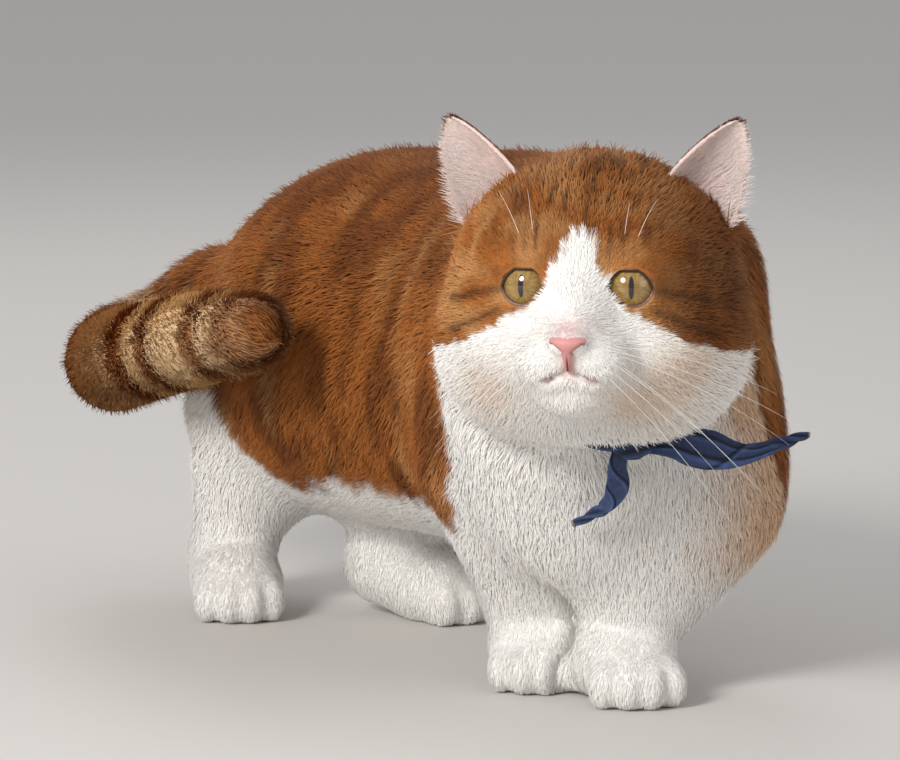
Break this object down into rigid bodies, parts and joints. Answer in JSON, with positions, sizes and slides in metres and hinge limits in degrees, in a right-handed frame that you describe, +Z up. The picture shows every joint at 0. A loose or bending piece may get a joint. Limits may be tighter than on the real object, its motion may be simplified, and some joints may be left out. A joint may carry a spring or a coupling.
{
  "type": "munchkin cat model",
  "caption": "Still, life-size museum model of a ginger and white munchkin cat standing on short legs, tail bent round to its right, in a dark blue neckerchief.",
  "frame": {"origin": "middle of the model's floor box, on the floor", "axes": "+Y towards the tail, +X to the cat's left, +Z up"},
  "size_m": [0.1902, 0.4638, 0.2237],
  "materials": {
    "coat": "short dense ginger and white fur",
    "ear_skin": "thin pink skin with fine fur",
    "eye": "clear, wet",
    "denim": "woven cotton, matt"
  },
  "bodies": {
    "root": {"head": "coat", "neck": "coat", "torso": "coat", "tail_1": "coat", "tail_2": "coat", "tail_3": "coat", "leg_front_right": "coat", "leg_front_left": "coat", "leg_hind_right": "coat", "leg_hind_left": "coat", "ear_left": "ear_skin", "ear_right": "ear_skin", "eye_left": "eye", "eye_right": "eye", "neckerchief": "denim"}
  },
  "joints": []
}
